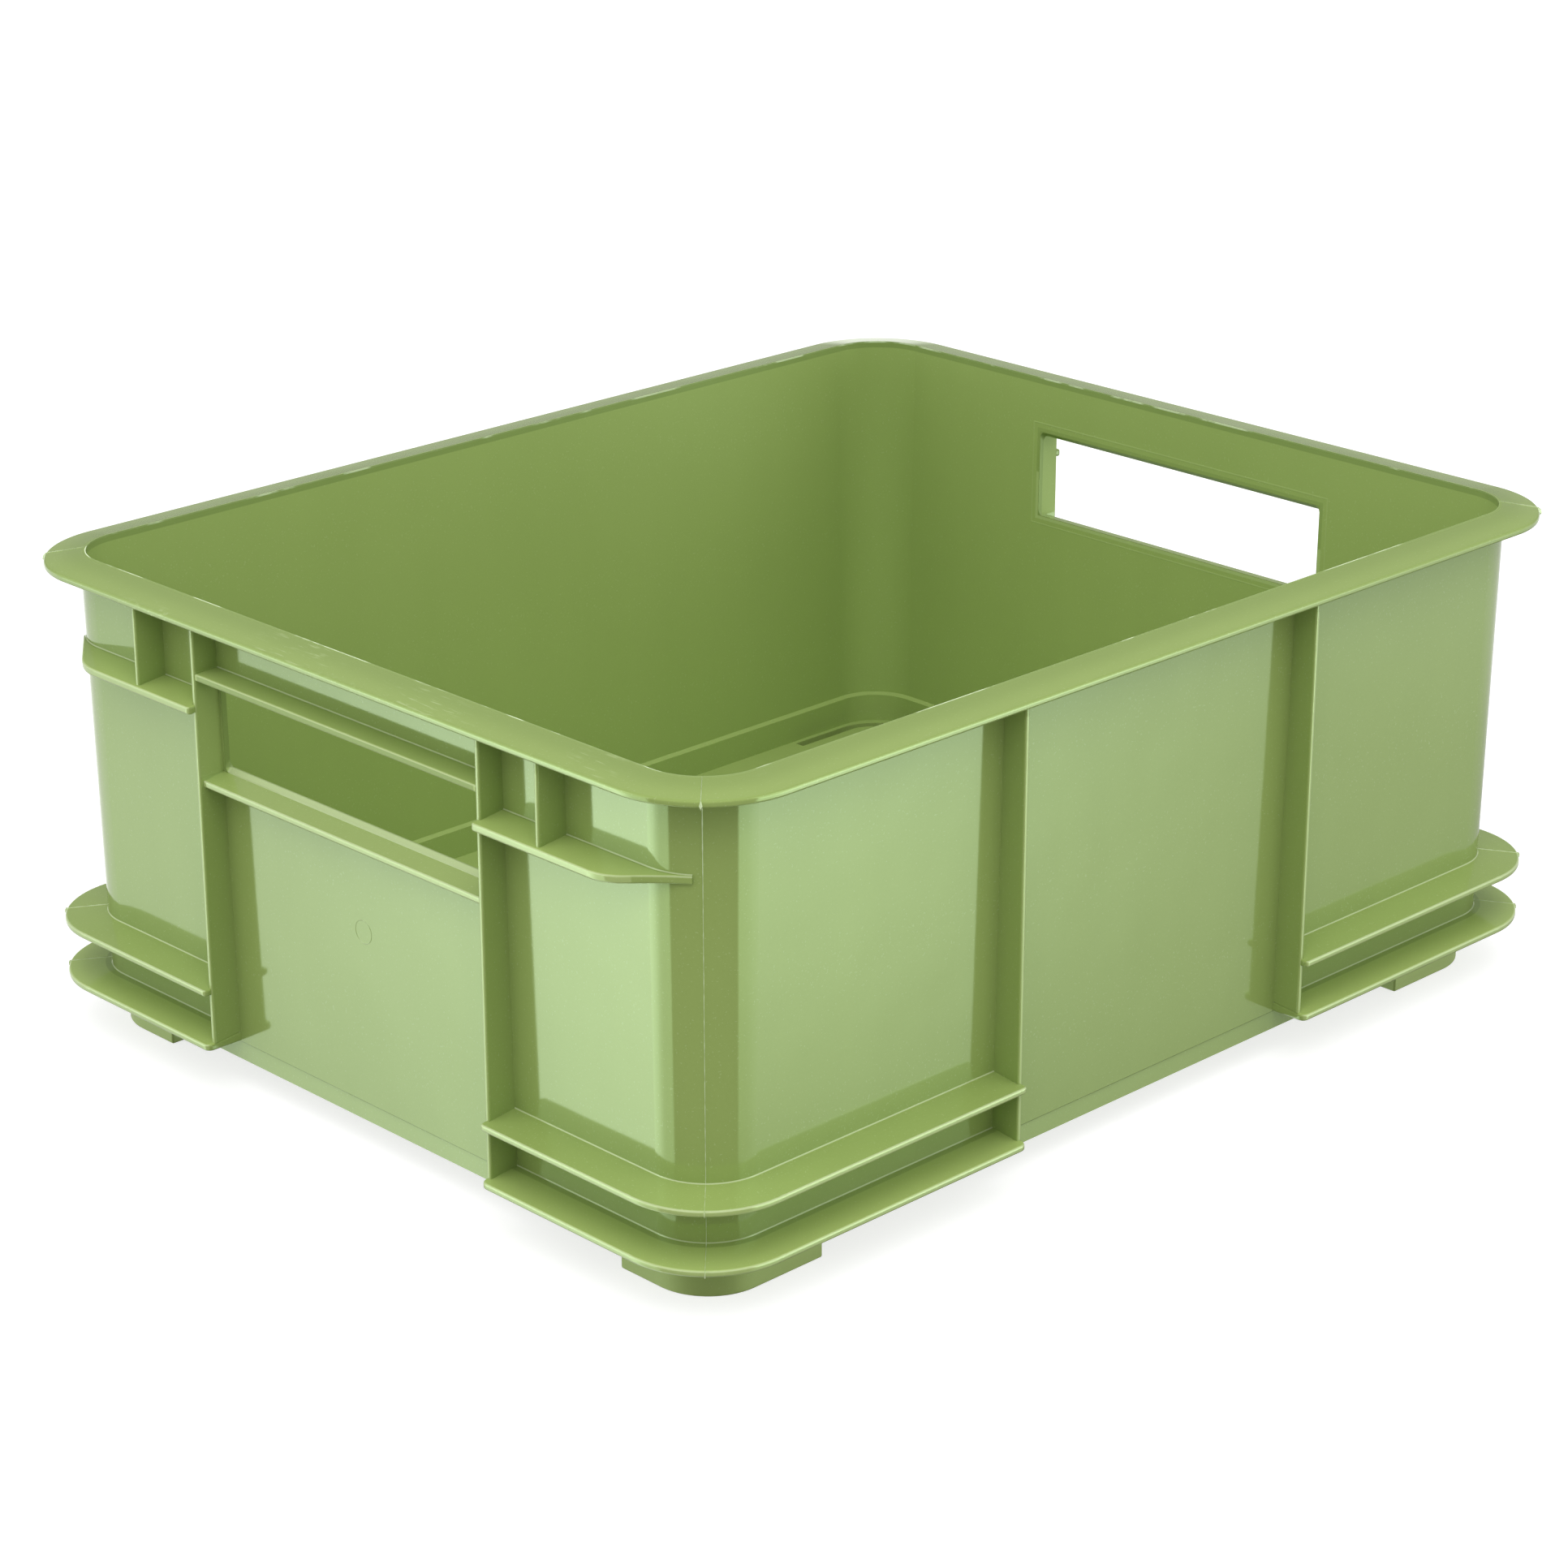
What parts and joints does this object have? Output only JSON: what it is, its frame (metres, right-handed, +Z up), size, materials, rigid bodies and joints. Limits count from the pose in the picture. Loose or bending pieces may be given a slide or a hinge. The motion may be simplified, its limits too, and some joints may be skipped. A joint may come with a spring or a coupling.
{
  "type": "stacking crate",
  "caption": "Open rectangular stacking crate in green plastic, with ribbed walls, hand holes in both ends, corner bands that seat it on the crate below, and small corner feet.",
  "frame": {"origin": "on the surface the feet stand on, under the middle of the crate", "axes": "+X along the long sides, +Y across towards the rear long side, +Z up; the hand holes are in the ends at -X and +X"},
  "size_m": [0.43, 0.35, 0.175],
  "materials": {
    "green_plastic": "glossy moulded polypropylene, olive green"
  },
  "bodies": {
    "root": {"floor_panel": "green_plastic", "front_left_corner_rim": "green_plastic", "front_left_corner_shelf": "green_plastic", "front_left_corner_wall": "green_plastic", "front_left_end_rib": "green_plastic", "front_left_foot": "green_plastic", "front_left_long_rib": "green_plastic", "front_left_lower_band": "green_plastic", "front_left_shelf_gusset": "green_plastic", "front_left_upper_band": "green_plastic", "front_long_wall": "green_plastic", "front_right_corner_rim": "green_plastic", "front_right_corner_shelf": "green_plastic", "front_right_corner_wall": "green_plastic", "front_right_end_rib": "green_plastic", "front_right_foot": "green_plastic", "front_right_long_rib": "green_plastic", "front_right_lower_band": "green_plastic", "front_right_shelf_gusset": "green_plastic", "front_right_upper_band": "green_plastic", "front_rim": "green_plastic", "left_end_wall": "green_plastic", "left_handle_lintel": "green_plastic", "left_handle_sill": "green_plastic", "left_rim": "green_plastic", "rear_left_corner_rim": "green_plastic", "rear_left_corner_shelf": "green_plastic", "rear_left_corner_wall": "green_plastic", "rear_left_end_rib": "green_plastic", "rear_left_foot": "green_plastic", "rear_left_long_rib": "green_plastic", "rear_left_lower_band": "green_plastic", "rear_left_shelf_gusset": "green_plastic", "rear_left_upper_band": "green_plastic", "rear_long_wall": "green_plastic", "rear_right_corner_rim": "green_plastic", "rear_right_corner_shelf": "green_plastic", "rear_right_corner_wall": "green_plastic", "rear_right_end_rib": "green_plastic", "rear_right_foot": "green_plastic", "rear_right_long_rib": "green_plastic", "rear_right_lower_band": "green_plastic", "rear_right_shelf_gusset": "green_plastic", "rear_right_upper_band": "green_plastic", "rear_rim": "green_plastic", "right_end_wall": "green_plastic", "right_handle_lintel": "green_plastic", "right_handle_sill": "green_plastic", "right_rim": "green_plastic"}
  },
  "joints": []
}
